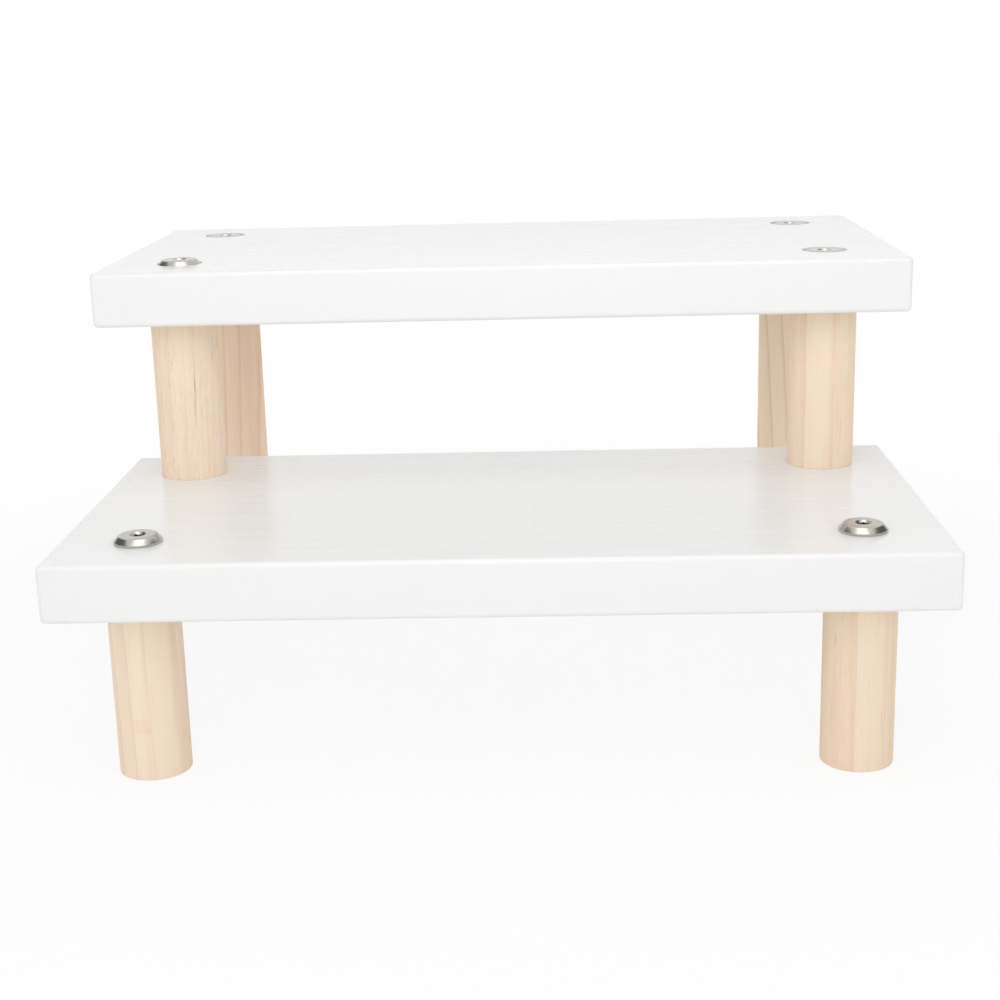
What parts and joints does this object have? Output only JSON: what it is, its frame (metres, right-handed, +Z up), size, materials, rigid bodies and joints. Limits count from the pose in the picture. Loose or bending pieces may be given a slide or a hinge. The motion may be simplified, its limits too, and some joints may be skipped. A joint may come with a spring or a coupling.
{
  "type": "tiered display stand",
  "caption": "Small two-tier display stand: rectangular white painted shelves stepped back on round pine legs, held by flat-headed hex-socket connector bolts.",
  "frame": {"origin": "on the floor plane, under the middle of the stand", "axes": "+X along the shelves to the right, +Y from the low front tier to the high rear tier, +Z up"},
  "size_m": [0.3, 0.246, 0.1657],
  "materials": {
    "white_paint": "white satin paint over wood, fine grain showing through",
    "bare_pine": "bare sanded pine",
    "bright_nickel": "bright nickel plating on steel",
    "plated_zinc": "zinc plating on steel"
  },
  "bodies": {
    "root": {"shelf_lower": "white_paint", "shelf_upper": "white_paint", "leg_front_left": "bare_pine", "leg_front_right": "bare_pine", "leg_middle_left": "bare_pine", "leg_middle_right": "bare_pine", "leg_rear_left": "bare_pine", "leg_rear_right": "bare_pine", "bolt_lower_front_left": "bright_nickel", "bolt_lower_front_right": "bright_nickel", "bolt_lower_rear_left": "bright_nickel", "bolt_lower_rear_right": "bright_nickel", "bolt_upper_front_left": "bright_nickel", "bolt_upper_front_right": "bright_nickel", "bolt_upper_rear_left": "bright_nickel", "bolt_upper_rear_right": "bright_nickel", "insert_lower_front_left": "plated_zinc", "insert_lower_front_right": "plated_zinc", "insert_lower_rear_left": "plated_zinc", "insert_lower_rear_right": "plated_zinc", "insert_upper_front_left": "plated_zinc", "insert_upper_front_right": "plated_zinc", "insert_upper_rear_left": "plated_zinc", "insert_upper_rear_right": "plated_zinc"}
  },
  "joints": []
}
